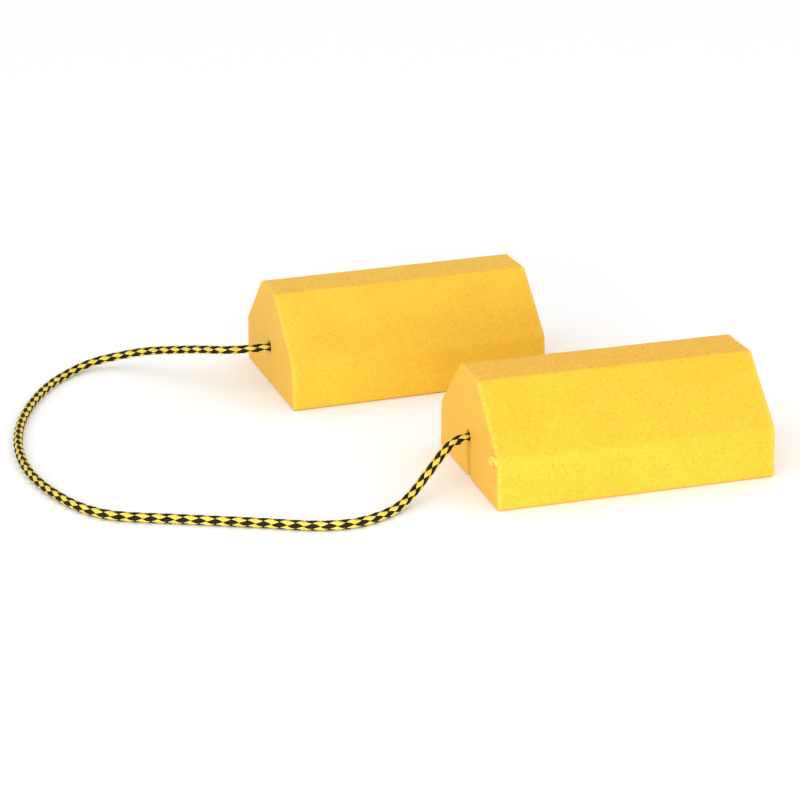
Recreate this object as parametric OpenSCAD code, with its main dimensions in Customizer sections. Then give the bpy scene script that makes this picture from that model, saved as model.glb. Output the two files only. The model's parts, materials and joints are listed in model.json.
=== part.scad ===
// A pair of wheel chocks joined by one braided rope.
// The frame: X runs along the front chock, Y from the front chock to the rear one, Z up.
// The origin is the middle of the front chock's base, on the ground.

/* [Chock] */
// Length of each chock, along the wheel's axle
chock_length = 305; // [280:1:330]
// Width of the base
base_width = 198; // [190:1:210]
// Width across the shoulders, where the sloping faces start
shoulder_width = 192; // [184:1:196]
// Height of the shoulders above the ground
shoulder_height = 53; // [48:1:60]
// Width of the flat top
top_width = 57; // [45:1:70]
// Height of the chock
chock_height = 117; // [110:1:130]
// Radius of the two long edges that stand on the ground
edge_radius = 3; // [1:0.5:5]
// Radius of the shoulders
shoulder_radius = 12; // [3:1:20]
// Radius of the two long edges of the flat top
top_radius = 5; // [3:0.5:8]

/* [Rope] */
// Diameter of the rope
rope_d = 10.5; // [8:0.5:10.5]
// Diameter of the hole that the rope runs through
bore_d = 13; // [13:0.5:16]
// Height of that hole's middle above the ground
bore_height = 46; // [44:1:48]
// Radius of the rounded lip where the rope leaves the chock
lip_radius = 2; // [1:0.5:3]

/* [Stopper knot] */
// Diameter of the recess that hides the knot
recess_d = 38; // [34:1:42]
// Depth of the recess from the far end of the chock
recess_depth = 48; // [46:1:60]
// Diameter of the knot
knot_d = 31; // [26:1:32]
// Length of the knot
knot_length = 30; // [24:1:32]
// Length of loose rope beyond the knot, with its melted tip
end_length = 14; // [8:1:14]

/* [Rope groove] */
// Width of the shallow groove under the front chock's rope hole
groove_width = 14; // [13:0.5:16]
// Depth of that groove
groove_depth = 3; // [1:0.5:4]

/* [Layout] */
// The middle of the rear chock's base, along X
rear_x = -131; // [-140:1:-120]
// The middle of the rear chock's base, along Y
rear_y = 350; // [345:1:360]
// How far the rear chock is turned from the front one, in degrees
rear_turn = 2; // [0:0.5:4]

/* [Hidden] */

CHOCK_YELLOW = [0.98, 0.80, 0.20];
ROPE_YELLOW = [0.93, 0.88, 0.33];
ROPE_BLACK = [0.10, 0.09, 0.08];

eps = 0.01;
half_length = chock_length / 2;
rope_r = rope_d / 2;
bore_r = bore_d / 2;
recess_floor = half_length - recess_depth;

// The rope lies low in its hole, with a little air under it.
rope_lift = 0.25;
rope_height = bore_height - bore_r + rope_r + rope_lift;

// The rope turns about a point just inside the lip; the piece next to it stops short of it.
pivot_depth = 3;
pivot_x = -half_length + pivot_depth;
turn_gap = 0.3;
turn_stop = rope_r + turn_gap;

// The chock's cross-section: Y across, Z up.
corner_steps = 5;
outline = [
    [-base_width / 2, 0], [base_width / 2, 0],
    [shoulder_width / 2, shoulder_height], [top_width / 2, chock_height],
    [-top_width / 2, chock_height], [-shoulder_width / 2, shoulder_height]];
corner_radii = [edge_radius, edge_radius, shoulder_radius, top_radius, top_radius, shoulder_radius];

// The rope's route on the ground, from the front chock round to the rear one.
// Height follows from the ground, except where the rope comes down from a hole.
front_pivot = [pivot_x, 0, rope_height];
rear_pivot = [rear_x + pivot_x * cos(rear_turn), rear_y + pivot_x * sin(rear_turn), rope_height];
route_front = [
    front_pivot,
    [-165, -2, 44], [-180, -12, 40], [-195, -25, 32], [-210, -36, 22], [-228, -51, 12],
    [-250, -70, 6], [-275, -85, 5], [-300, -93, 5], [-325, -91, 5], [-350, -83, 5],
    [-380, -68, 5], [-412, -53, 5], [-445, -38, 5], [-478, -23, 5], [-508, -10, 5],
    [-535, 6, 5], [-557, 33, 5], [-572, 65, 5], [-584, 101, 5], [-592, 140, 5],
    [-595, 185, 5]];
route_rear = [
    [-592, 235, 5], [-580, 295, 5], [-558, 356, 5], [-530, 408, 5], [-500, 442, 6],
    [-470, 459, 9], [-440, 454, 15], [-412, 437, 23], [-385, 409, 31], [-358, 378, 39],
    [-333, 352, 44], [-308, 345, 45],
    rear_pivot];
route = concat(route_front, route_rear);
bend_index = len(route_front) - 1;
sides = 10;
steps = 2;

function unit(v) = v / norm(v);

// One corner of a polygon, rounded: the arc that touches both of its edges.
function corner(before, at, after, r) =
    let (
        u = unit(before - at),
        v = unit(after - at),
        half = acos(u * v) / 2,
        middle = at + unit(u + v) * r / sin(half),
        first = at + u * r / tan(half) - middle,
        turn = (180 - 2 * half) * sign(u[1] * v[0] - u[0] * v[1]))
    [for (i = [0 : corner_steps])
        let (a = turn * i / corner_steps)
        middle + [first[0] * cos(a) - first[1] * sin(a), first[0] * sin(a) + first[1] * cos(a)]];
function rounded(points, radii) =
    let (n = len(points))
    [for (i = [0 : n - 1]) each corner(points[(i + n - 1) % n], points[i], points[(i + 1) % n], radii[i])];

// A smooth curve through points, kept no lower than a rope lying on the ground.
function on_ground(p) = [p[0], p[1], max(p[2], rope_r)];
function between(a, b, c, d, t) =
    (2 * b + (c - a) * t + (2 * a - 5 * b + 4 * c - d) * t * t + (3 * b - a - 3 * c + d) * t * t * t) / 2;
function route_at(i) = route[max(0, min(len(route) - 1, i))];
function smooth(first, last) = concat(
    [for (i = [first : last - 1]) for (k = [0 : steps - 1])
        on_ground(between(route_at(i - 1), route_at(i), route_at(i + 1), route_at(i + 2), k / steps))],
    [on_ground(route_at(last))]);

// A ring of points round the direction along, and the rings of one round end.
function ring(p, along, r) =
    let (side = unit(cross(along, [0, 0, 1])), up = cross(side, along))
    [for (k = [0 : sides - 1]) let (a = 360 * k / sides) p + r * (side * cos(a) + up * sin(a))];
function direction(path, i) = unit(path[min(len(path) - 1, i + 1)] - path[max(0, i - 1)]);
round_end = [20, 45, 70];
function nose(p, along, outward) = [for (a = outward > 0 ? [70, 45, 20] : round_end)
    ring(p + outward * along * rope_r * cos(a), along, rope_r * sin(a))];

module tube(rings) {
    n = len(rings);
    faces = concat(
        [[for (k = [0 : sides - 1]) k]],
        [for (i = [0 : n - 2]) for (k = [0 : sides - 1])
            [i * sides + k, (i + 1) * sides + k, (i + 1) * sides + (k + 1) % sides,
                i * sides + (k + 1) % sides]],
        [[for (k = [sides - 1 : -1 : 0]) (n - 1) * sides + k]]);
    polyhedron(points = [for (r = rings) each r], faces = faces);
}

module along_x(x) {
    translate([x, 0, rope_height]) rotate([0, 90, 0]) children();
}

// The solid casting, with the rope's hole from end to end and the knot's recess at the far end.
module casting(with_groove) {
    color(CHOCK_YELLOW)
    difference() {
        rotate([90, 0, 90])
            linear_extrude(chock_length, center = true)
                polygon(rounded(outline, corner_radii));
        translate([0, 0, bore_height]) rotate([0, 90, 0]) {
            cylinder(h = chock_length + 2, r = bore_r, center = true, $fn = 64);
            translate([0, 0, recess_floor])
                cylinder(h = recess_depth + 1, d = recess_d, $fn = 96);
            translate([0, 0, -half_length]) lip();
        }
        if (with_groove)
            translate([-half_length - 1, -groove_width / 2, -1])
                cube([groove_depth + 1, groove_width, bore_height + 1]);
    }
}

module lip() {
    rotate_extrude($fn = 64)
        difference() {
            translate([0, -eps]) square([bore_r + lip_radius, lip_radius + eps]);
            translate([bore_r + lip_radius, lip_radius]) circle(r = lip_radius, $fn = 32);
        }
}

module rope_tail() {
    color(ROPE_YELLOW)
    along_x(pivot_x + turn_stop)
        cylinder(h = recess_floor - pivot_x - turn_stop, r = rope_r, $fn = 48);
}

// A pulled-up overhand knot, as a plain barrel of its outer shape.
module stopper_knot() {
    shoulder = knot_length / 3;
    color(ROPE_BLACK)
    along_x(recess_floor)
        rotate_extrude($fn = 64)
            polygon(concat(
                [[0, 0]],
                [for (a = [0 : 15 : 90])
                    [knot_d / 2 - shoulder + shoulder * sin(a), shoulder - shoulder * cos(a)]],
                [for (a = [0 : 15 : 90])
                    [knot_d / 2 - shoulder + shoulder * cos(a), knot_length - shoulder + shoulder * sin(a)]],
                [[0, knot_length]]));
}

// The loose end beyond the knot, with its heat-sealed tip.
module rope_end() {
    tip = 2;
    color(ROPE_YELLOW)
    along_x(recess_floor + knot_length) {
        cylinder(h = end_length - tip, r = rope_r, $fn = 48);
        translate([0, 0, end_length - tip])
            rotate_extrude($fn = 48)
                polygon([[0, 0], [rope_r, 0], [rope_r + 0.5, tip / 2], [rope_r - 0.5, tip], [0, tip]]);
    }
}

module at_rear() {
    translate([rear_x, rear_y, 0]) rotate([0, 0, rear_turn]) children();
}

module front_chock_body() { casting(true); }
module front_rope_tail() { rope_tail(); }
module front_stopper_knot() { stopper_knot(); }
module front_rope_end() { rope_end(); }
module rear_chock_body() { at_rear() casting(false); }
module rear_rope_tail() { at_rear() rope_tail(); }
module rear_stopper_knot() { at_rear() stopper_knot(); }
module rear_rope_end() { at_rear() rope_end(); }

// The free rope from the front hole to its middle, with a round end at each turning point.
module rope_front_run() {
    path = smooth(0, bend_index);
    last = len(path) - 1;
    leave = direction(path, 0);
    arrive = direction(route, bend_index);
    color(ROPE_BLACK)
    tube(concat(
        nose(path[0], leave, -1),
        [ring(path[0], leave, rope_r)],
        [for (i = [1 : last - 1]) ring(path[i], direction(path, i), rope_r)],
        [ring(path[last], arrive, rope_r)],
        nose(path[last], arrive, 1)));
}

// The free rope from its middle to the rear hole.
module rope_rear_run() {
    path = smooth(bend_index, len(route) - 1);
    last = len(path) - 1;
    leave = direction(route, bend_index);
    arrive = direction(path, last);
    color(ROPE_YELLOW)
    tube(concat(
        [ring(path[0] + leave * turn_stop, leave, rope_r)],
        [for (i = [1 : last - 1]) ring(path[i], direction(path, i), rope_r)],
        [ring(path[last], arrive, rope_r)],
        nose(path[last], arrive, 1)));
}

front_chock_body();
front_rope_tail();
front_stopper_knot();
front_rope_end();
rope_front_run();
rope_rear_run();
rear_chock_body();
rear_rope_tail();
rear_stopper_knot();
rear_rope_end();
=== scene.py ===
"""The looks of two wheel chocks joined by a braided rope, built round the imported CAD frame."""

import json
import math

import bpy
import numpy as np
from mathutils import Matrix, Vector, noise

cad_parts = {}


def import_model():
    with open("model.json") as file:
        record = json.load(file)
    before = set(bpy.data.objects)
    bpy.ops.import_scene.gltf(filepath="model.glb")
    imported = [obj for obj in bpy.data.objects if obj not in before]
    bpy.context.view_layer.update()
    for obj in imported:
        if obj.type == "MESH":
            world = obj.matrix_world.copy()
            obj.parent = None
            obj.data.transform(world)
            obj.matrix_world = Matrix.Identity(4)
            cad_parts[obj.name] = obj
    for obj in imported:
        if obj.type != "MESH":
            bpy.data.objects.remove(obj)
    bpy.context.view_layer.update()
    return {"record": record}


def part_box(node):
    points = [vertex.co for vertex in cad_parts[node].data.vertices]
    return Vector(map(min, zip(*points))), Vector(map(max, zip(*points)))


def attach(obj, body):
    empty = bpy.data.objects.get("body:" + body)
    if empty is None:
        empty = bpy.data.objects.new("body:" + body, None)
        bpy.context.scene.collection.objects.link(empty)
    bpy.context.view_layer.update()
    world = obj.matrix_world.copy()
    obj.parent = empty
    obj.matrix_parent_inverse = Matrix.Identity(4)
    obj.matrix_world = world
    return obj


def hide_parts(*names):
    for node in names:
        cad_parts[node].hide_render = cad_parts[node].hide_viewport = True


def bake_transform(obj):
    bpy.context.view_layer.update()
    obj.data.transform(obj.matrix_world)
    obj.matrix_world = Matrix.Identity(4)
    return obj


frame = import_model()

MM = 0.001
mounts = {m["name"]: m for m in frame["record"]["mounts"]}
joints = {j["name"]: j for j in frame["record"]["behaviour"]["joints"]}


# ---------------------------------------------------------------- camera

CAMERA_AT = (-0.8757, -2.2555, 0.9701)
CAMERA_YAW, CAMERA_PITCH, CAMERA_ROLL = (math.radians(a) for a in (16.07, 20.45, 0.75))
CAMERA_LENS = 109.56


def make_camera():
    """A camera that looks down and to the right at the pair, rolled a little."""
    sin_yaw, cos_yaw = math.sin(CAMERA_YAW), math.cos(CAMERA_YAW)
    forward = Vector(
        (sin_yaw * math.cos(CAMERA_PITCH), cos_yaw * math.cos(CAMERA_PITCH), -math.sin(CAMERA_PITCH))
    )
    level_right = Vector((cos_yaw, -sin_yaw, 0))
    level_up = level_right.cross(forward)
    right = math.cos(CAMERA_ROLL) * level_right - math.sin(CAMERA_ROLL) * level_up
    up = math.sin(CAMERA_ROLL) * level_right + math.cos(CAMERA_ROLL) * level_up
    camera = bpy.data.objects.new("camera", bpy.data.cameras.new("camera"))
    camera.data.lens = CAMERA_LENS
    camera.data.sensor_width = 36
    camera.matrix_world = Matrix.Translation(CAMERA_AT) @ Matrix((right, up, -forward)).transposed().to_4x4()
    bpy.context.scene.collection.objects.link(camera)
    bpy.context.scene.camera = camera


make_camera()


# ---------------------------------------------------------------- small helpers


def unit(v):
    return v / np.linalg.norm(v, axis=-1, keepdims=True)


def arc_length(path):
    return np.concatenate(([0], np.cumsum(np.linalg.norm(np.diff(path, axis=0), axis=1))))


def resample(path, spacing):
    """The same path with evenly spaced points, about spacing apart."""
    at = arc_length(path)
    even = np.linspace(0, at[-1], max(2, round(at[-1] / spacing) + 1))
    return np.stack([np.interp(even, at, path[:, k]) for k in range(3)], axis=1)


def through(points, per_span=24):
    """A Catmull-Rom curve through the points."""
    p = np.vstack((2 * points[0] - points[1], points, 2 * points[-1] - points[-2]))
    t = np.linspace(0, 1, per_span, endpoint=False)[:, None]
    spans = []
    for a, b, c, d in zip(p[:-3], p[1:-2], p[2:-1], p[3:]):
        spans.append(
            0.5 * (2 * b + (c - a) * t + (2 * a - 5 * b + 4 * c - d) * t**2 + (3 * b - a - 3 * c + d) * t**3)
        )
    return np.vstack(spans + [points[-1:]])


def eased(path, passes):
    """Rounds off small kinks; both ends stay."""
    path = path.copy()
    for _ in range(passes):
        path[1:-1] += 0.25 * (path[:-2] - 2 * path[1:-1] + path[2:])
    return path


def carried_frames(path):
    """Two directions across the path at each point, carried along it without twist."""
    along = unit(np.gradient(path, axis=0))
    side = np.empty_like(path)
    start = np.cross(along[0], (0, 0, 1.0))
    side[0] = unit(start)
    for i in range(1, len(path)):
        s = side[i - 1] - along[i] * np.dot(side[i - 1], along[i])
        side[i] = s / np.linalg.norm(s)
    return side, np.cross(along, side)


def mesh_object(name, vertices, faces, materials=(), face_material=None, uv=None):
    """A mesh object with shading that runs soft across its faces. uv holds one pair per vertex."""
    mesh = bpy.data.meshes.new(name)
    mesh.from_pydata(np.asarray(vertices).tolist(), [], [tuple(int(i) for i in f) for f in faces])
    for m in materials:
        mesh.materials.append(m)
    if face_material is not None:
        mesh.polygons.foreach_set("material_index", np.asarray(face_material, np.int32))
    if uv is not None:
        corner = np.empty(len(mesh.loops), np.int32)
        mesh.loops.foreach_get("vertex_index", corner)
        layer = mesh.uv_layers.new(name="strand")
        layer.data.foreach_set("uv", np.asarray(uv, np.float32)[corner].ravel())
    mesh.polygons.foreach_set("use_smooth", [True] * len(mesh.polygons))
    mesh.update()
    thing = bpy.data.objects.new(name, mesh)
    bpy.context.scene.collection.objects.link(thing)
    return thing


def grid_faces(rows, columns, first=0, close_rows=False):
    """Quads over a grid of vertices whose columns run round a closed ring."""
    faces = []
    for i in range(rows if close_rows else rows - 1):
        here, there = first + i * columns, first + (i + 1) % rows * columns
        for j in range(columns):
            k = (j + 1) % columns
            faces.append((here + j, here + k, there + k, there + j))
    return faces


def placed(points, placement):
    """Points in a chock's own frame, put where the chock stands."""
    m = np.array(placement)
    return np.asarray(points) @ m[:3, :3].T + m[:3, 3]


# ---------------------------------------------------------------- materials


class Shader:
    """A material and its node tree, with short ways to add nodes."""

    def __init__(self, name):
        self.material = bpy.data.materials.new(name)
        self.material.use_nodes = True
        self.nodes = self.material.node_tree.nodes
        self.links = self.material.node_tree.links
        self.surface = self.nodes["Principled BSDF"]

    def feed(self, socket, value):
        if isinstance(value, bpy.types.NodeSocket):
            self.links.new(value, socket)
        else:
            socket.default_value = value

    def add(self, kind, settings=None, **inputs):
        node = self.nodes.new(kind)
        for key, value in (settings or {}).items():
            setattr(node, key, value)
        for key, value in inputs.items():
            self.feed(node.inputs[key.replace("_", " ")], value)
        return node

    def place(self, scale=(1, 1, 1), source="Object"):
        where = self.add("ShaderNodeTexCoord").outputs[source]
        return self.add("ShaderNodeMapping", Vector=where, Scale=scale).outputs["Vector"]

    def noise(self, where, scale, detail=2.0, rough=0.5):
        n = self.add("ShaderNodeTexNoise", Vector=where, Scale=scale, Detail=detail, Roughness=rough)
        return n.outputs["Fac"]

    def ramp(self, value, low, high, out_low=0.0, out_high=1.0):
        n = self.add("ShaderNodeMapRange", {"clamp": True})
        self.feed(n.inputs["Value"], value)
        for key, number in (("From Min", low), ("From Max", high), ("To Min", out_low), ("To Max", out_high)):
            n.inputs[key].default_value = number
        return n.outputs["Result"]

    def math(self, operation, a, b):
        n = self.add("ShaderNodeMath", {"operation": operation})
        self.feed(n.inputs[0], a)
        self.feed(n.inputs[1], b)
        return n.outputs[0]

    def mix(self, factor, a, b):
        n = self.add("ShaderNodeMix", {"data_type": "RGBA"})
        self.feed(n.inputs[0], factor)
        self.feed(n.inputs[6], a)
        self.feed(n.inputs[7], b)
        return n.outputs[2]

    def bump(self, height, distance, strength=1.0, normal=None):
        n = self.add("ShaderNodeBump", Height=height, Distance=distance, Strength=strength)
        if normal is not None:
            self.links.new(normal, n.inputs["Normal"])
        return n.outputs["Normal"]

    def specks(self, where, scale, share, size):
        """1 inside round specks of mixed sizes, in a share of the cells of a scattered grid, else 0."""
        cells = self.add("ShaderNodeTexVoronoi", Vector=where, Scale=scale)
        chance, spread = self.add("ShaderNodeSeparateColor", Color=cells.outputs["Color"]).outputs[:2]
        chosen = self.math("GREATER_THAN", chance, 1 - share)
        reach = self.ramp(spread, 0.0, 1.0, 0.4 * size, size)
        spot = self.ramp(self.math("DIVIDE", cells.outputs["Distance"], reach), 1.0, 0.5)
        return self.math("MULTIPLY", chosen, spot)


PIT = (0.56, 0.22, 0.015, 1)
GRIT = (0.62, 0.27, 0.030, 1)
PALE_GRIT = (0.97, 0.66, 0.11, 1)
# Painted shade for the two ends: a duller orange-tan than the lit sides, standing in for the dimmer light on
# them.
END_FACE_SHADE = (0.83, 0.465, 0.078, 1)
SCUFF = (0.90, 0.72, 0.28, 1)
# Painted shade for the groove down the left end, where its wall lies in shade.
GROOVE_SHADE = (0.46, 0.22, 0.03, 1)
# Edges paler from wear and from a painted highlight where the rounding catches the light.
WEAR_AND_HIGHLIGHT_COLOUR = (0.95, 0.66, 0.13, 1)


def chock_plastic(name, light, deep):
    """Matt cast polyurethane: a gritty orange-peel grain, with pits, a few pale scuffs, edges paler from wear
    and a painted highlight, and a coarser speckle on faces that look up, where grit settles.

    The mesh's marks attribute holds: red on edges that are paler from wear and a painted highlight, green in
    the groove, which gets a painted shade, and blue on the two ends, whose skin is smoother and which get a
    painted shade, a duller orange-tan tone for the dimmer light on them."""
    s = Shader(name)
    where = s.place()
    marks = s.add("ShaderNodeAttribute", {"attribute_name": "marks"}).outputs["Color"]
    # Red: edges paled by wear and a painted highlight; green: painted shade in the groove; blue: painted
    # shade on the two ends.
    edge_wear_and_highlight, groove_shade, end_shade = s.add("ShaderNodeSeparateColor", Color=marks).outputs
    cloud = s.noise(where, 24, 2)
    mottle = s.noise(where, 260, 3, 0.6)
    grain = s.noise(where, 820, 3, 0.7)
    tone = s.math("ADD", s.math("MULTIPLY", cloud, 0.14), s.math("MULTIPLY", mottle, 0.24))
    tone = s.math("ADD", tone, s.math("MULTIPLY", grain, 0.62))
    colour = s.mix(s.ramp(tone, 0.41, 0.59), deep, light)
    pits = s.specks(where, 280, 0.16, 0.32)
    scuffs = s.specks(s.place((1.07, 0.93, 1.01)), 60, 0.03, 0.16)
    colour = s.mix(s.math("MULTIPLY", pits, 0.42), colour, PIT)
    facing = s.add("ShaderNodeSeparateXYZ", Vector=s.add("ShaderNodeNewGeometry").outputs["Normal"])
    topside = s.ramp(facing.outputs["Z"], 0.90, 0.99)
    grit = s.ramp(s.noise(where, 340, 3, 0.7), 0.44, 0.62, 0.0, 0.42)
    colour = s.mix(s.math("MULTIPLY", topside, grit), colour, GRIT)
    pale_grit = s.ramp(s.noise(s.place((1.03, 0.97, 1)), 370, 3, 0.7), 0.50, 0.66, 0.0, 0.48)
    colour = s.mix(s.math("MULTIPLY", topside, pale_grit), colour, PALE_GRIT)
    # Painted shade on the two ends.
    colour = s.mix(s.math("MULTIPLY", end_shade, 0.45), colour, END_FACE_SHADE)
    colour = s.mix(s.math("MULTIPLY", scuffs, 0.40), colour, SCUFF)
    # Painted shade in the groove.
    colour = s.mix(s.math("MULTIPLY", groove_shade, 0.30), colour, GROOVE_SHADE)
    # Edges paled by wear and a painted highlight.
    wear_and_highlight_amount = s.math("MULTIPLY", edge_wear_and_highlight, s.ramp(mottle, 0.35, 0.65, 0.12, 0.32))
    colour = s.mix(wear_and_highlight_amount, colour, WEAR_AND_HIGHLIGHT_COLOUR)
    s.feed(s.surface.inputs["Base Color"], colour)
    s.feed(s.surface.inputs["Roughness"], s.ramp(mottle, 0.3, 0.7, 0.55, 0.70))
    s.surface.inputs["Specular IOR Level"].default_value = 0.25
    coarse = s.bump(mottle, 0.35 * MM, 0.5)
    fine = s.bump(grain, 0.28 * MM, 0.8, coarse)
    s.feed(s.surface.inputs["Normal"], s.bump(s.math("SUBTRACT", 1.0, pits), 0.40 * MM, 0.9, fine))
    return s.material


def rope_strand(name, light, deep, shine):
    """A strand of fine parallel filaments, seen as streaks along it."""
    s = Shader(name)
    across = s.place((11, 0.32, 1), "UV")
    streak = s.noise(across, 1.0, 3, 0.65)
    fibre = s.noise(s.place((34, 0.7, 1), "UV"), 1.0, 2, 0.6)
    dirt = s.noise(s.place(), 60, 3)
    shade = s.math("ADD", s.math("MULTIPLY", streak, 0.75), s.math("MULTIPLY", dirt, 0.25))
    colour = s.mix(s.ramp(shade, 0.34, 0.66), deep, light)
    s.feed(s.surface.inputs["Base Color"], colour)
    s.feed(s.surface.inputs["Roughness"], s.ramp(fibre, 0.3, 0.7, 0.50, 0.72))
    s.surface.inputs["Specular IOR Level"].default_value = shine
    s.surface.inputs["Specular Tint"].default_value = (1.0, 0.82, 0.55, 1)
    ridges = s.bump(streak, 0.30 * MM, 0.8)
    s.feed(s.surface.inputs["Normal"], s.bump(fibre, 0.12 * MM, 0.7, ridges))
    return s.material


def melted_fibre(name):
    """Rope fibre melted to a hard, lumpy, half-black skin."""
    s = Shader(name)
    where = s.place()
    swirl = s.noise(where, 330, 4, 0.6)
    colour = s.mix(s.ramp(swirl, 0.45, 0.62), (0.014, 0.011, 0.008, 1), (0.22, 0.17, 0.03, 1))
    s.feed(s.surface.inputs["Base Color"], colour)
    s.feed(s.surface.inputs["Roughness"], s.ramp(swirl, 0.3, 0.7, 0.32, 0.6))
    s.surface.inputs["Specular IOR Level"].default_value = 0.3
    s.surface.inputs["Specular Tint"].default_value = (1.0, 0.86, 0.66, 1)
    s.feed(s.surface.inputs["Normal"], s.bump(swirl, 0.5 * MM, 0.7))
    return s.material


front_plastic = chock_plastic("front_chock_plastic", (0.860, 0.500, 0.034, 1), (0.770, 0.375, 0.018, 1))
rear_plastic = chock_plastic("rear_chock_plastic", (0.850, 0.525, 0.040, 1), (0.760, 0.405, 0.024, 1))
strand_black = rope_strand("rope_black", (0.020, 0.014, 0.007, 1), (0.004, 0.003, 0.0015, 1), 0.14)
strand_yellow = rope_strand("rope_yellow", (0.880, 0.740, 0.160, 1), (0.600, 0.420, 0.040, 1), 0.25)
sealed_tip = melted_fibre("sealed_tip")


# ---------------------------------------------------------------- the braid

ROPE_D = 10.5 * MM
CARRIERS = 4
LAY = 66 * MM
STATION = 1.25 * MM
STRAND_POINTS = 12
# Shares of the rope's radius: the strands' middle surface, their rise and fall, thickness and width.
MIDDLE, RISE, THICK = 0.62, 0.18, 0.40
BLACK_WIDE, YELLOW_WIDE = 1.22, 1.10
CORE = 0.50
CORE_POINTS = 10


def strand_rings(path, frames, at, radius, strand, hand):
    """One strand's rings. hand is 1 for those that turn one way and go over first, and -1 for the others."""
    side, up = frames
    turn = 2 * math.pi / LAY * at
    beta = np.linspace(0, 2 * math.pi, STRAND_POINTS, endpoint=False)
    wide = BLACK_WIDE if hand > 0 else YELLOW_WIDE
    spread = np.sign(np.cos(beta)) * np.abs(np.cos(beta)) ** 0.8 * wide / 2 / MIDDLE
    bulge = np.sign(np.sin(beta)) * np.abs(np.sin(beta)) ** 0.9 * THICK / 2
    angle = 2 * math.pi * strand / CARRIERS + hand * turn[:, None] + spread[None, :]
    phase = CARRIERS * (turn[:, None] + hand * spread[None, :] / 2)
    reach = (MIDDLE + hand * RISE * np.cos(phase) + bulge[None, :]) * radius[:, None]
    out = side[:, None, :] * np.cos(angle)[..., None] + up[:, None, :] * np.sin(angle)[..., None]
    rings = path[:, None, :] + out * reach[..., None]
    u = np.broadcast_to((spread / spread.max() + 1) / 2, reach.shape)
    v = np.broadcast_to(at[:, None] / MM, reach.shape)
    return rings.reshape(-1, 3), np.stack((u, v + 37.0 * strand), axis=-1).reshape(-1, 2)


def core_rings(path, frames, at, radius):
    side, up = frames
    angle = np.linspace(0, 2 * math.pi, CORE_POINTS, endpoint=False)[None, :, None]
    out = side[:, None, :] * np.cos(angle) + up[:, None, :] * np.sin(angle)
    rings = path[:, None, :] + out * (CORE * radius)[:, None, None]
    uv = np.zeros((rings.shape[0] * CORE_POINTS, 2))
    return rings.reshape(-1, 3), uv


def braid(name, path, squeeze=None):
    """A rope braided from four strands each way round a dark core, along an evenly spaced path."""
    frames = carried_frames(path)
    at = arc_length(path)
    radius = np.full(len(path), ROPE_D / 2) * (1 if squeeze is None else squeeze)
    vertices, uvs, faces, colours = [], [], [], []
    count = 0
    for hand, colour in ((1, 0), (-1, 1)):
        for strand in range(CARRIERS):
            rings, uv = strand_rings(path, frames, at, radius, strand, hand)
            count = add_tube(vertices, uvs, faces, colours, rings, uv, STRAND_POINTS, colour, count)
    rings, uv = core_rings(path, frames, at, radius)
    add_tube(vertices, uvs, faces, colours, rings, uv, CORE_POINTS, 0, count)
    materials = (strand_black, strand_yellow)
    return mesh_object(name, np.vstack(vertices), faces, materials, colours, np.vstack(uvs))


def add_tube(vertices, uvs, faces, colours, rings, uv, columns, colour, count):
    """Adds one closed tube to a mesh's lists, and returns the new count of vertices."""
    rows = len(rings) // columns
    vertices.append(rings)
    uvs.append(uv)
    made = grid_faces(rows, columns, count)
    made.append(tuple(count + columns - 1 - j for j in range(columns)))
    made.append(tuple(count + (rows - 1) * columns + j for j in range(columns)))
    faces.extend(made)
    colours.extend([colour] * len(made))
    return count + len(rings)


# ---------------------------------------------------------------- the free rope

FRONT_PIVOT = joints["front_rope_swing"]["pos_m"]
REAR_PIVOT = joints["rear_chock_swing"]["pos_m"]
ROUTE = [
    FRONT_PIVOT,
    (-0.165, -0.002, 0.044), (-0.180, -0.012, 0.040), (-0.195, -0.025, 0.032), (-0.210, -0.036, 0.022),
    (-0.228, -0.051, 0.012), (-0.250, -0.070, 0.006), (-0.275, -0.085, 0.005), (-0.300, -0.093, 0.005),
    (-0.325, -0.091, 0.005), (-0.350, -0.083, 0.005), (-0.380, -0.068, 0.005), (-0.412, -0.053, 0.005),
    (-0.445, -0.038, 0.005), (-0.478, -0.023, 0.005), (-0.508, -0.010, 0.005), (-0.535, 0.006, 0.005),
    (-0.557, 0.033, 0.005), (-0.572, 0.065, 0.005), (-0.584, 0.101, 0.005), (-0.592, 0.140, 0.005),
    (-0.595, 0.185, 0.005), (-0.592, 0.235, 0.005), (-0.580, 0.295, 0.005), (-0.558, 0.356, 0.005),
    (-0.530, 0.408, 0.005), (-0.500, 0.442, 0.006), (-0.470, 0.459, 0.009), (-0.440, 0.454, 0.015),
    (-0.412, 0.437, 0.023), (-0.385, 0.409, 0.031), (-0.358, 0.378, 0.039), (-0.333, 0.352, 0.044),
    (-0.308, 0.345, 0.045),
    REAR_PIVOT,
]
ROUTE_EASING = 60


def free_rope():
    """The rope between the chocks: out of one hole, round on the ground, and into the other."""
    path = eased(resample(through(np.array(ROUTE, float)), STATION), ROUTE_EASING)
    path[:, 2] = np.maximum(path[:, 2], ROPE_D / 2)
    path = resample(path, STATION)
    rope = braid("free_rope", path)
    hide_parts("rope_front_run", "rope_rear_run")
    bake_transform(rope)


free_rope()


# ---------------------------------------------------------------- the chocks

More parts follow.
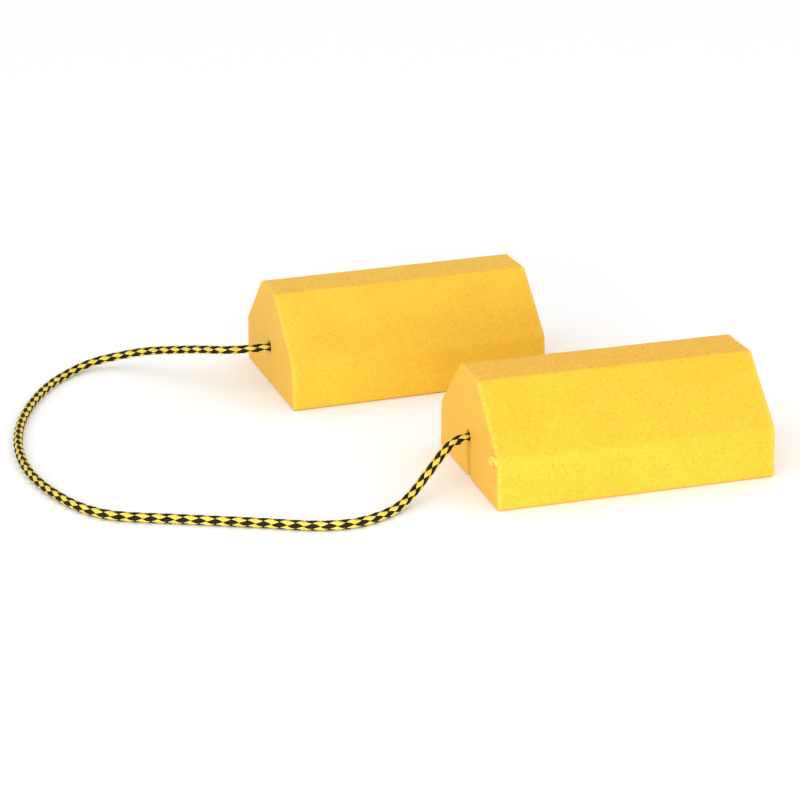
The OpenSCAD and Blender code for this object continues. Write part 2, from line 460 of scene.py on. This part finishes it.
low, high = (np.array(v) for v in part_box("front_chock_body"))
LENGTH = high[0] - low[0]
HEIGHT = high[2]
BASE_W, SHOULDER_W, TOP_W = 198 * MM, 192 * MM, 57 * MM
SHOULDER_Z = 53 * MM
EDGE_R, SHOULDER_R, TOP_R = 3 * MM, 12 * MM, 5 * MM
END_R = 2.5 * MM
BORE_Z = 46 * MM
BORE_R = 6.5 * MM
LIP_R = 2 * MM
RECESS_R = 19 * MM
RECESS_DEPTH = 48 * MM
RECESS_LIP = 1 * MM
GROOVE_HALF = 7 * MM
GROOVE_DEPTH = 3 * MM
GROOVE_WALL = 0.6 * MM
CURL_Y, CURL_Z = -SHOULDER_W / 2 + 6.5 * MM, SHOULDER_Z - 3 * MM
CURL_POINTS = 12
# The curl of flash is painted paler: a painted highlight where it faces the front light.
CURL_HIGHLIGHT = 2
SPACING = 3.2 * MM
CORNER_POINTS = 6

rear_face = mounts["rear_wheel_face"]["axis"]
FRONT_PLACE = Matrix.Translation(mounts["front_base"]["pos_m"])
REAR_PLACE = Matrix.Translation(mounts["rear_base"]["pos_m"]) @ Matrix.Rotation(
    math.atan2(rear_face[0], -rear_face[1]), 4, "Z"
)


def span(start, end, spacing=SPACING):
    """Even steps from start to end, with both."""
    return np.linspace(start, end, max(2, round(abs(end - start) / spacing) + 1))


def outline():
    """The cross-section's points and outward normals, anticlockwise from the bottom left, as (y, z)."""
    corners = np.array([
        (-BASE_W / 2, 0), (BASE_W / 2, 0), (SHOULDER_W / 2, SHOULDER_Z),
        (TOP_W / 2, HEIGHT), (-TOP_W / 2, HEIGHT), (-SHOULDER_W / 2, SHOULDER_Z),
    ])
    radii = (EDGE_R, EDGE_R, SHOULDER_R, TOP_R, TOP_R, SHOULDER_R)
    arcs = []
    for i, r in enumerate(radii):
        before, here, after = corners[i - 1], corners[i], corners[(i + 1) % len(corners)]
        into, out = unit(here - before), unit(after - here)
        start, end = (math.atan2(-d[0], d[1]) for d in (into, out))
        turn = (end - start) % (2 * math.pi)
        back = r * math.tan(turn / 2)
        centre = here - into * back + r * np.array((-into[1], into[0]))
        angles = start + np.linspace(0, turn, CORNER_POINTS)
        normals = np.stack((np.cos(angles), np.sin(angles)), axis=1)
        arcs.append((centre + r * normals, normals))
    points, normals = [], []
    for i, (arc, arc_normals) in enumerate(arcs):
        points.append(arc)
        normals.append(arc_normals)
        start, end = arc[-1], arcs[(i + 1) % len(arcs)][0][0]
        if i == 0:
            wall_out, wall_in = GROOVE_HALF + GROOVE_WALL, GROOVE_HALF - GROOVE_WALL
            sides = span(start[0], -wall_out)[1:], span(wall_out, end[0])[:-1]
            y = np.concatenate((sides[0], span(-wall_in, wall_in), sides[1]))
            flat = np.stack((y, np.zeros(len(y))), axis=1)
        else:
            t = span(0, np.linalg.norm(end - start))[1:-1, None] / np.linalg.norm(end - start)
            flat = start + (end - start) * t
        points.append(flat)
        normals.append(np.repeat(arc_normals[-1:], len(flat), axis=0))
    return np.vstack(points), np.vstack(normals)


def hole_ring(points, radius, straight_below):
    """The points of a round hole's edge that face the outline's points, keeping y under the hole if asked."""
    centre = np.array((0, BORE_Z))
    angle = np.unwrap(np.arctan2(*(points - centre).T[::-1]))
    if straight_below:
        inside = (np.abs(points[:, 0]) <= GROOVE_HALF + 1.5 * GROOVE_WALL) & (points[:, 1] < EDGE_R)
        edge = np.abs(points[inside, 0]).max()
        below = -math.pi / 2
        half_far = math.pi / 2 - math.acos(edge / radius)
        half_near = math.atan2(edge, BORE_Z)
        around = (angle - below) % (2 * math.pi)
        share = (around - half_near) / (2 * math.pi - 2 * half_near)
        angle = below + half_far + share * (2 * math.pi - 2 * half_far)
        angle[inside] = -np.arccos(points[inside, 0] / radius)
    return centre + radius * np.stack((np.cos(angle), np.sin(angle)), axis=1)


def rounding(count=5):
    """Quarter-circle steps, as (inset from the side, inset from the end), each from 0 to 1."""
    a = np.linspace(0, math.pi / 2, count)
    return list(zip(1 - np.cos(a), 1 - np.sin(a)))


def chock_sections():
    """Rings of points from the rope's hole, over the outside, through the knot's recess and back."""
    points, normals = outline()
    left, right = -LENGTH / 2, LENGTH / 2
    floor = right - RECESS_DEPTH
    sections, edge_wear_and_highlight = [], []

    # A ring's mark gives the end's rounded edge its paler colour: wear and a painted highlight.
    def ring(x, yz, wear_and_highlight_amount=0.0):
        sections.append(np.column_stack((np.full(len(yz), x), yz)))
        edge_wear_and_highlight.append(wear_and_highlight_amount)

    centre = np.array((0, BORE_Z))

    def scaled(edge, old, new):
        return centre + (edge - centre) * new / old

    lip_edge = hole_ring(points, BORE_R + LIP_R, True)
    near = scaled(lip_edge, BORE_R + LIP_R, BORE_R)
    recess_edge = hole_ring(points, RECESS_R + RECESS_LIP, False)
    for side_in, end_in in rounding():
        ring(left + LIP_R * end_in, scaled(lip_edge, BORE_R + LIP_R, BORE_R + LIP_R * side_in))
    rim = points - normals * END_R
    for t in np.linspace(0, 1, 18)[1:-1]:
        ring(left, lip_edge + (rim - lip_edge) * t)
    for side_in, end_in in rounding():
        ring(left + END_R * side_in, points - normals * END_R * end_in, end_in < 1)
    for x in span(left + END_R, right - END_R)[1:-1]:
        ring(x, points)
    for side_in, end_in in reversed(rounding()):
        ring(right - END_R * side_in, points - normals * END_R * end_in, end_in < 1)
    for t in np.linspace(1, 0, 15)[1:-1]:
        ring(right, recess_edge + (rim - recess_edge) * t)
    for side_in, end_in in rounding():
        r = RECESS_R + RECESS_LIP * end_in
        ring(right - RECESS_LIP * side_in, scaled(recess_edge, RECESS_R + RECESS_LIP, r))
    wall = scaled(recess_edge, RECESS_R + RECESS_LIP, RECESS_R)
    for x in span(right - RECESS_LIP, floor, 6 * MM)[1:]:
        ring(x, wall)
    far = scaled(recess_edge, RECESS_R + RECESS_LIP, BORE_R)
    ring(floor, wall + (far - wall) * 0.5)
    ring(floor, far)
    for x in span(floor, left + LIP_R, 30 * MM)[1:-1]:
        t = (floor - x) / (floor - left - LIP_R)
        turned = far + (near - far) * t
        ring(x, centre + BORE_R * unit(turned - centre))
    return np.array(sections), np.array(edge_wear_and_highlight, float)


def groove(v):
    """Sinks the shallow groove that runs down the left end from the hole to the base."""
    mask = np.clip((GROOVE_HALF + GROOVE_WALL - np.abs(v[:, 1])) / (2 * GROOVE_WALL), 0, 1)
    under = v[:, 2] < BORE_Z
    near_end = v[:, 0] < -LENGTH / 2 + GROOVE_DEPTH
    sunk = -LENGTH / 2 + GROOVE_DEPTH * mask * mask * (3 - 2 * mask)
    v[:, 0] = np.where(under & near_end, np.maximum(v[:, 0], sunk), v[:, 0])


def surface_marks(v, row_wear_and_highlight, columns, left_marks):
    """Per vertex: how much its edge is paled by wear and a painted highlight, how much of the groove's
    painted shade it gets, and whether it is on an end, which gets a painted shade.
    """
    y, z = np.abs(v[:, 1]), v[:, 2]
    marks = np.zeros((len(v), 4), np.float32)
    # Edges paled by wear and a painted highlight.
    marks[:, 0] = np.repeat(row_wear_and_highlight, columns)
    # The groove's painted shade.
    marks[:, 1] = left_marks * (v[:, 0] < -LENGTH / 2 + 1 * MM) * (y < GROOVE_HALF) * (z < BORE_Z)
    # On an end: marks the ends for their painted shade.
    marks[:, 2] = np.abs(v[:, 0]) > LENGTH / 2 - 0.5 * MM
    marks[:, 3] = 1
    return marks


def casting_marks(v, n, seed):
    """Slow waves over the outer faces, and none where the chock stands or round its holes."""
    from_hole = np.hypot(v[:, 1], v[:, 2] - BORE_Z)
    at_end = np.abs(v[:, 0]) > LENGTH / 2 - 1.5 * MM
    outside = np.where(at_end, np.clip((from_hole - 21 * MM) / (10 * MM), 0, 1), from_hole > 30 * MM)
    off_base = np.clip((v[:, 2] - 2 * MM) / (8 * MM), 0, 1)
    slow = np.array([noise.noise(Vector(p) * 22 + Vector((seed, 0, 0))) for p in v])
    quick = np.array([noise.noise(Vector(p) * 75 + Vector((0, seed, 0))) for p in v])
    height = (0.22 * slow + 0.08 * quick - 0.12) * MM * outside * off_base
    v += n * height[:, None]


def corner_curl():
    """A curl of moulding flash on the left end's front edge, at the shoulder: a tapered bead."""
    turn = np.linspace(math.radians(-15), math.radians(245), 30)
    y = CURL_Y - 6.0 * MM * np.cos(turn)
    z = CURL_Z + 4.2 * MM * np.sin(turn)
    path = np.stack((-LENGTH / 2 - MM * (0.6 + 1.6 * np.sin(turn / 2) ** 2), y, z), axis=1)
    thick = 3.1 * MM * np.sin(np.linspace(0.35, math.pi - 0.40, len(turn))) ** 0.5
    side, up = carried_frames(path)
    angle = np.linspace(0, 2 * math.pi, CURL_POINTS, endpoint=False)[None, :, None]
    lumps = np.array([1 + 0.25 * noise.noise(Vector(p) * 400) for p in path])
    out = side[:, None, :] * np.cos(angle) + up[:, None, :] * np.sin(angle)
    return (path[:, None, :] + out * (thick * lumps)[:, None, None]).reshape(-1, 3), len(turn)


def make_chock(name, node, body, placement, plastic, left_marks, seed):
    """One casting. left_marks adds the groove and the curl of flash that only the front chock has."""
    sections, edge_wear_and_highlight = chock_sections()
    rows, columns = sections.shape[:2]
    faces = grid_faces(rows, columns, close_rows=True)
    v = sections.reshape(-1, 3).copy()
    marks = surface_marks(v, edge_wear_and_highlight, columns, left_marks)
    bare = mesh_object(name + "_shape", v, faces)
    n = np.empty(len(v) * 3, np.float32)
    bare.data.vertices.foreach_get("normal", n)
    bpy.data.objects.remove(bare)
    casting_marks(v, n.reshape(-1, 3).astype(float), seed)
    if left_marks:
        groove(v)
        curl, curl_rows = corner_curl()
        faces += grid_faces(curl_rows, CURL_POINTS, len(v))
        faces.append(tuple(range(len(v) + CURL_POINTS - 1, len(v) - 1, -1)))
        faces.append(tuple(len(v) + (curl_rows - 1) * CURL_POINTS + j for j in range(CURL_POINTS)))
        v = np.vstack((v, curl))
        # The curl's paler colour is a painted highlight.
        marks = np.vstack((marks, np.tile(np.float32((CURL_HIGHLIGHT, 0, 0, 1)), (len(curl), 1))))
    chock = mesh_object(name, placed(v, placement), faces, (plastic,))
    layer = chock.data.color_attributes.new("marks", "FLOAT_COLOR", "POINT")
    layer.data.foreach_set("color", marks.ravel())
    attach(chock, body)
    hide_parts(node)


make_chock("front_casting", "front_chock_body", "front_chock", FRONT_PLACE, front_plastic, True, 3.0)
make_chock("rear_casting", "rear_chock_body", "rear_chock", REAR_PLACE, rear_plastic, False, 11.0)


# ---------------------------------------------------------------- the rope inside each chock

ROPE_Z = FRONT_PIVOT[2]
PIVOT_X = FRONT_PIVOT[0]
RECESS_FLOOR = LENGTH / 2 - RECESS_DEPTH
KNOT_LENGTH = 30 * MM
END_STUB = 12 * MM
KNOT_SQUEEZE = 0.88
KNOT_STEP = 0.25
KNOT_ROPE = 15.0
PULL = 0.01


def tied_knot():
    """An overhand knot pulled tight, in rope diameters, with both ends on the X axis.

    An open knot's curve is pulled out at its ends, while its links keep their length, its bends
    are eased, and no two stretches come closer than one diameter."""
    t = np.linspace(-2.25, 2.25, 2000)
    loose = np.stack((0.35 * (t**5 - 10 * t), 2.2 * (t**3 - 3 * t), 1.6 * (t**4 - 4 * t**2)), axis=1)
    whole = arc_length(loose)[-1]
    q = resample(loose, whole * KNOT_STEP / KNOT_ROPE)
    q *= KNOT_ROPE / whole
    i, j = np.triu_indices(len(q), k=int(1.5 / KNOT_STEP))
    for _ in range(900):
        slack = np.linalg.norm(np.diff(q, axis=0), axis=1).sum() / KNOT_ROPE
        go = PULL if slack < 1.004 else 0.0
        q[0, 0] -= go
        q[-1, 0] += go
        q[[0, -1], 1:] *= 1 - 0.4 * go
        ends = q[[0, -1]].copy()
        for _ in range(12):
            link = np.diff(q, axis=0)
            size = np.linalg.norm(link, axis=1)[:, None]
            shift = 0.45 * link * (1 - KNOT_STEP / size)
            q[:-1] += shift
            q[1:] -= shift
            q[1:-1] += 0.08 * (0.5 * (q[:-2] + q[2:]) - q[1:-1])
            gap = q[j] - q[i]
            size = np.linalg.norm(gap, axis=1)
            close = size < 1
            push = gap[close] * (0.25 * (1 - size[close]) / size[close])[:, None]
            np.add.at(q, i[close], -push)
            np.add.at(q, j[close], push)
            q[[0, -1]] = ends
    x = unit(q[-1] - q[0])
    y = unit(np.cross((0, 0, 1.0), x))
    return (q - (q[0] + q[-1]) / 2) @ np.stack((x, y, np.cross(x, y)), axis=1)


def inner_path(knot):
    """From the turning point along the hole, through the knot and out to the stub's end."""
    middle = np.array((RECESS_FLOOR + KNOT_LENGTH / 2, 0, ROPE_Z))
    tied = middle + knot * ROPE_D * KNOT_SQUEEZE
    tied = tied[tied[:, 0] < RECESS_FLOOR + KNOT_LENGTH + END_STUB - 2 * MM]
    start = np.array((PIVOT_X, 0, ROPE_Z))
    lead = np.linspace(start, (tied[0, 0] - 8 * MM, 0, ROPE_Z), 40)
    end = np.array([(RECESS_FLOOR + KNOT_LENGTH + END_STUB, 0, ROPE_Z)])
    return resample(eased(resample(through(np.vstack((lead, tied, end)), 6), STATION), 6), STATION)


def rope_inside(name, body, placement, nodes, knot):
    path = inner_path(knot)
    x = path[:, 0]
    firm = np.clip((x - (RECESS_FLOOR - 14 * MM)) / (10 * MM), 0, 1)
    loose = np.clip((x - (RECESS_FLOOR + KNOT_LENGTH + 1 * MM)) / (6 * MM), 0, 1)
    squeeze = 1 - (1 - KNOT_SQUEEZE) * np.clip(firm - loose, 0, 1)
    inner = braid(name, placed(path, placement), squeeze)
    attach(inner, body)
    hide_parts(*nodes)


def rope_tip(name, body, placement, node, seed):
    """The heat-sealed end: a lumpy cap over the stub, with an uneven rim."""
    start = RECESS_FLOOR + KNOT_LENGTH + END_STUB - 1.5 * MM
    profile = [
        (0.0, 0.86), (0.5, 1.05), (1.2, 1.10), (2.0, 1.06),
        (2.8, 0.92), (3.3, 0.66), (3.5, 0.34), (3.5, 0.04),
    ]
    count = 40
    angle = np.linspace(0, 2 * math.pi, count, endpoint=False)
    rings = []
    for along, share in profile:
        r = ROPE_D / 2 * share
        on_ring = np.stack((np.cos(angle) * 1.3, np.sin(angle) * 1.3, 0 * angle + along * 0.8 + seed), axis=1)
        lumps = np.array([noise.noise(Vector(p)) for p in on_ring])
        r_here = r * (1 + 0.14 * lumps * min(1, along))
        droop = 0.5 * MM * lumps * min(1, along / 2)
        x = start + along * MM + droop
        rings.append(np.column_stack((x, r_here * np.cos(angle), ROPE_Z + r_here * np.sin(angle))))
    faces = grid_faces(len(rings), count)
    faces.append(tuple(range(count - 1, -1, -1)))
    faces.append(tuple((len(rings) - 1) * count + j for j in range(count)))
    tip = mesh_object(name, placed(np.vstack(rings), placement), faces, (sealed_tip,))
    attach(tip, body)
    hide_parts(node)


knot = tied_knot()
for where, placement, seed in (("front", FRONT_PLACE, 1.7), ("rear", REAR_PLACE, 5.2)):
    body = where + "_chock"
    nodes = (where + "_rope_tail", where + "_stopper_knot")
    rope_inside(where + "_rope_and_knot", body, placement, nodes, knot)
    rope_tip(where + "_rope_tip", body, placement, where + "_rope_end", seed)


# ---------------------------------------------------------------- floor and light


def area_light(name, at, towards, size, power, colour=(1, 1, 1)):
    light = bpy.data.lights.new(name, "AREA")
    light.shape = "RECTANGLE"
    light.size, light.size_y = size
    light.energy = power
    light.color = colour
    holder = bpy.data.objects.new(name, light)
    holder.location = at
    holder.rotation_euler = (Vector(towards) - Vector(at)).to_track_quat("-Z", "Y").to_euler()
    bpy.context.scene.collection.objects.link(holder)


def floor():
    bpy.ops.mesh.primitive_plane_add(size=14, location=(0, 0, -0.0002))
    plane = bpy.context.object
    plane.name = "floor"
    s = Shader("floor")
    s.surface.inputs["Base Color"].default_value = (0.93, 0.93, 0.93, 1)
    s.surface.inputs["Roughness"].default_value = 0.9
    s.surface.inputs["Specular IOR Level"].default_value = 0.0
    plane.data.materials.append(s.material)


def world(strength):
    w = bpy.data.worlds.new("studio")
    w.use_nodes = True
    w.node_tree.nodes["Background"].inputs["Color"].default_value = (1, 1, 1, 1)
    w.node_tree.nodes["Background"].inputs["Strength"].default_value = strength
    bpy.context.scene.world = w


floor()
world(1.06)
area_light("front_softbox", (-0.1, -1.45, 0.22), (-0.05, 0.1, 0.05), (1.6, 0.4), 12)
area_light("left_softbox", (-1.1, -0.85, 0.35), (-0.20, 0.25, 0.06), (0.8, 0.4), 4)
bpy.context.scene.view_settings.view_transform = "Standard"
